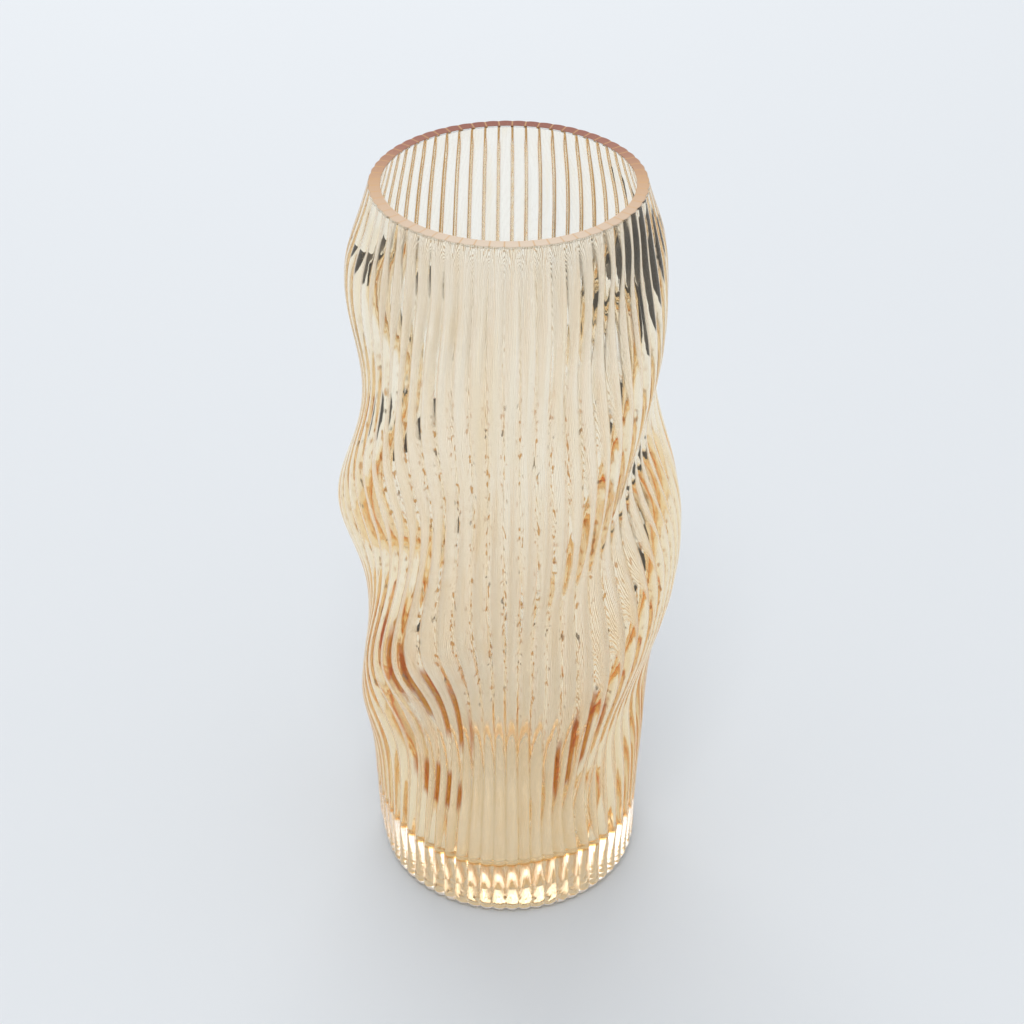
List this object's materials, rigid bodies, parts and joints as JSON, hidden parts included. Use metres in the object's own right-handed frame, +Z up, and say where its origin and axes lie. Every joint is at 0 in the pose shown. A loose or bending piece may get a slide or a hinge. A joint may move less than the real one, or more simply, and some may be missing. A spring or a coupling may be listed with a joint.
{
  "type": "vase",
  "caption": "Tall tinted glass vase with an open mouth, softly folded wall, vertical ribs outside and a thick clear foot.",
  "frame": {"origin": "centre of the foot, on the surface that the vase stands on", "axes": "+Z up the vase and out of its mouth, -Y towards the front"},
  "size_m": [0.1314, 0.1208, 0.3],
  "materials": {
    "clear_glass": "fire-polished clear glass with a faint warm cast",
    "amber_glass": "transparent pale amber glass",
    "ground_glass": "cut and ground satin glass"
  },
  "bodies": {
    "root": {"sham_base": "clear_glass", "ribbed_wall": "clear_glass", "amber_lining": "amber_glass", "ground_rim": "ground_glass"}
  },
  "joints": []
}
